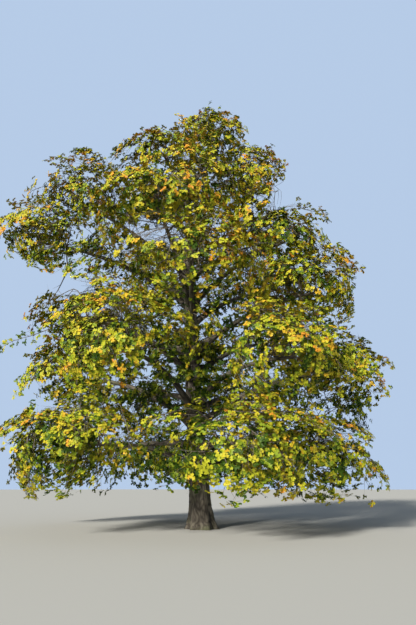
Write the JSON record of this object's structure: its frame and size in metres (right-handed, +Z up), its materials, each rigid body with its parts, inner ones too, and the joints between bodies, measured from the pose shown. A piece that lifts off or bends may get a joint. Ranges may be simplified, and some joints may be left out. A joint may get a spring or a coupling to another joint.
{
  "type": "oak tree",
  "caption": "Broad open-grown oak in autumn leaf: leaning trunk with a root flare, boughs in tiers and rounded masses of leaf sprays, with its lowest sprays near the ground.",
  "frame": {"origin": "centre of the flat cut under the trunk, at ground level", "axes": "+Z up; +X to the right-hand side of the crown as the picture shows it; -Y towards the front, where the picture was taken from"},
  "size_m": [17.3392, 15.0427, 19.4264],
  "materials": {
    "bark": "rough, fissured grey-brown bark",
    "foliage": "matte lobed leaves turning from green to yellow and orange"
  },
  "bodies": {
    "root": {"trunk": "bark", "bough_skirt_1": "bark", "bough_skirt_2": "bark", "bough_skirt_3": "bark", "bough_skirt_4": "bark", "bough_skirt_5": "bark", "bough_skirt_6": "bark", "bough_low_1": "bark", "bough_low_2": "bark", "bough_low_3": "bark", "bough_low_4": "bark", "bough_low_5": "bark", "bough_low_6": "bark", "bough_middle_1": "bark", "bough_middle_2": "bark", "bough_middle_3": "bark", "bough_middle_4": "bark", "bough_middle_5": "bark", "bough_middle_6": "bark", "bough_upper_1": "bark", "bough_upper_2": "bark", "bough_upper_3": "bark", "bough_upper_4": "bark", "bough_upper_5": "bark", "bough_shoulder_1": "bark", "bough_shoulder_2": "bark", "bough_shoulder_3": "bark", "bough_shoulder_4": "bark", "foliage_skirt_1": "foliage", "foliage_skirt_2": "foliage", "foliage_skirt_3": "foliage", "foliage_skirt_4": "foliage", "foliage_skirt_5": "foliage", "foliage_skirt_6": "foliage", "foliage_low_1": "foliage", "foliage_low_2": "foliage", "foliage_low_3": "foliage", "foliage_low_4": "foliage", "foliage_low_5": "foliage", "foliage_low_6": "foliage", "foliage_middle_1": "foliage", "foliage_middle_2": "foliage", "foliage_middle_3": "foliage", "foliage_middle_4": "foliage", "foliage_middle_5": "foliage", "foliage_middle_6": "foliage", "foliage_upper_1": "foliage", "foliage_upper_2": "foliage", "foliage_upper_3": "foliage", "foliage_upper_4": "foliage", "foliage_upper_5": "foliage", "foliage_shoulder_1": "foliage", "foliage_shoulder_2": "foliage", "foliage_shoulder_3": "foliage", "foliage_shoulder_4": "foliage", "foliage_crest_1": "foliage", "foliage_crest_2": "foliage", "foliage_crest_3": "foliage", "foliage_top_1": "foliage"}
  },
  "joints": []
}
